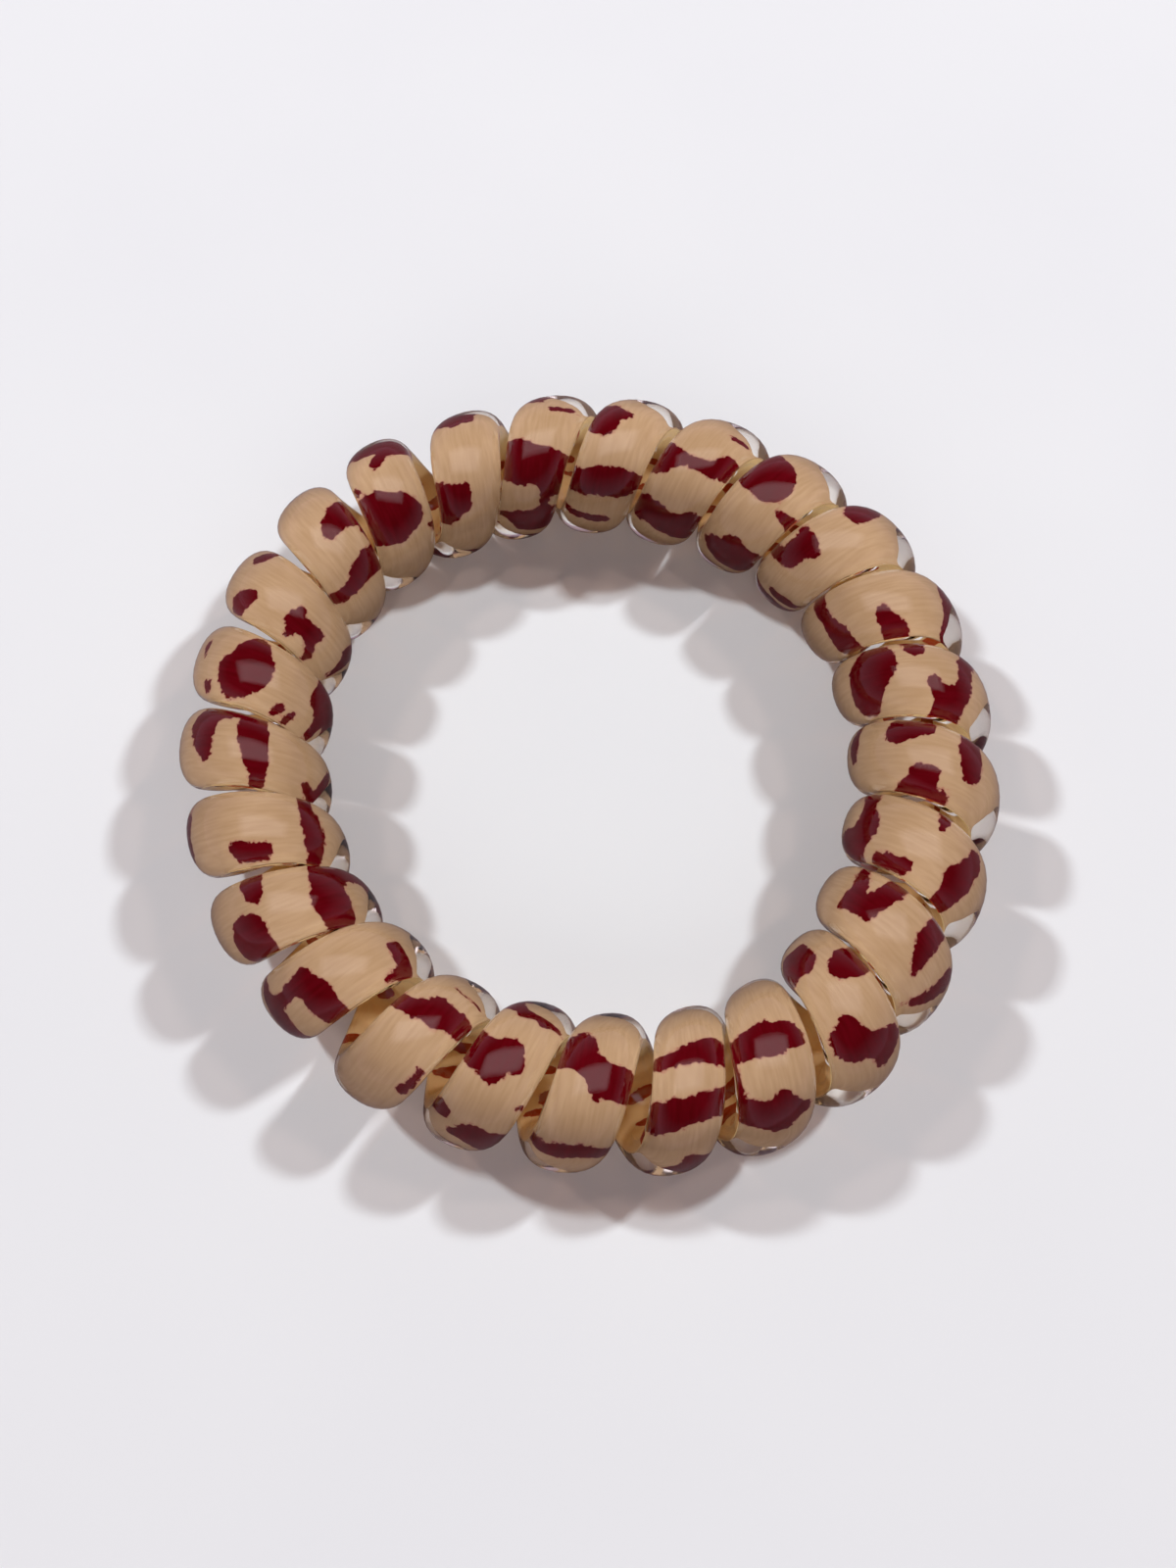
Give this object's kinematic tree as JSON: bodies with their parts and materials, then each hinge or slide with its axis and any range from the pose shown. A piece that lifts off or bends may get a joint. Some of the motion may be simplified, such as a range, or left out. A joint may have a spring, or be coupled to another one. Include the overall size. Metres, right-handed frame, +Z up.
{
  "type": "spiral hair tie",
  "caption": "Closed ring wound from one glossy plastic strand like a telephone cord, with a giraffe-patterned film under its clear face; lies flat, holds hair or sits on a wrist.",
  "frame": {"origin": "centre of the ring's footprint, on the surface that it lies on", "axes": "+Z up through the ring's hole, +Y to the far side of the ring, +X to the right"},
  "size_m": [0.0538, 0.0544, 0.0097],
  "materials": {
    "strand": "clear glossy plastic over a film printed beige with dark maroon giraffe patches"
  },
  "bodies": {
    "root": {"coil_strand": "strand"}
  },
  "joints": []
}
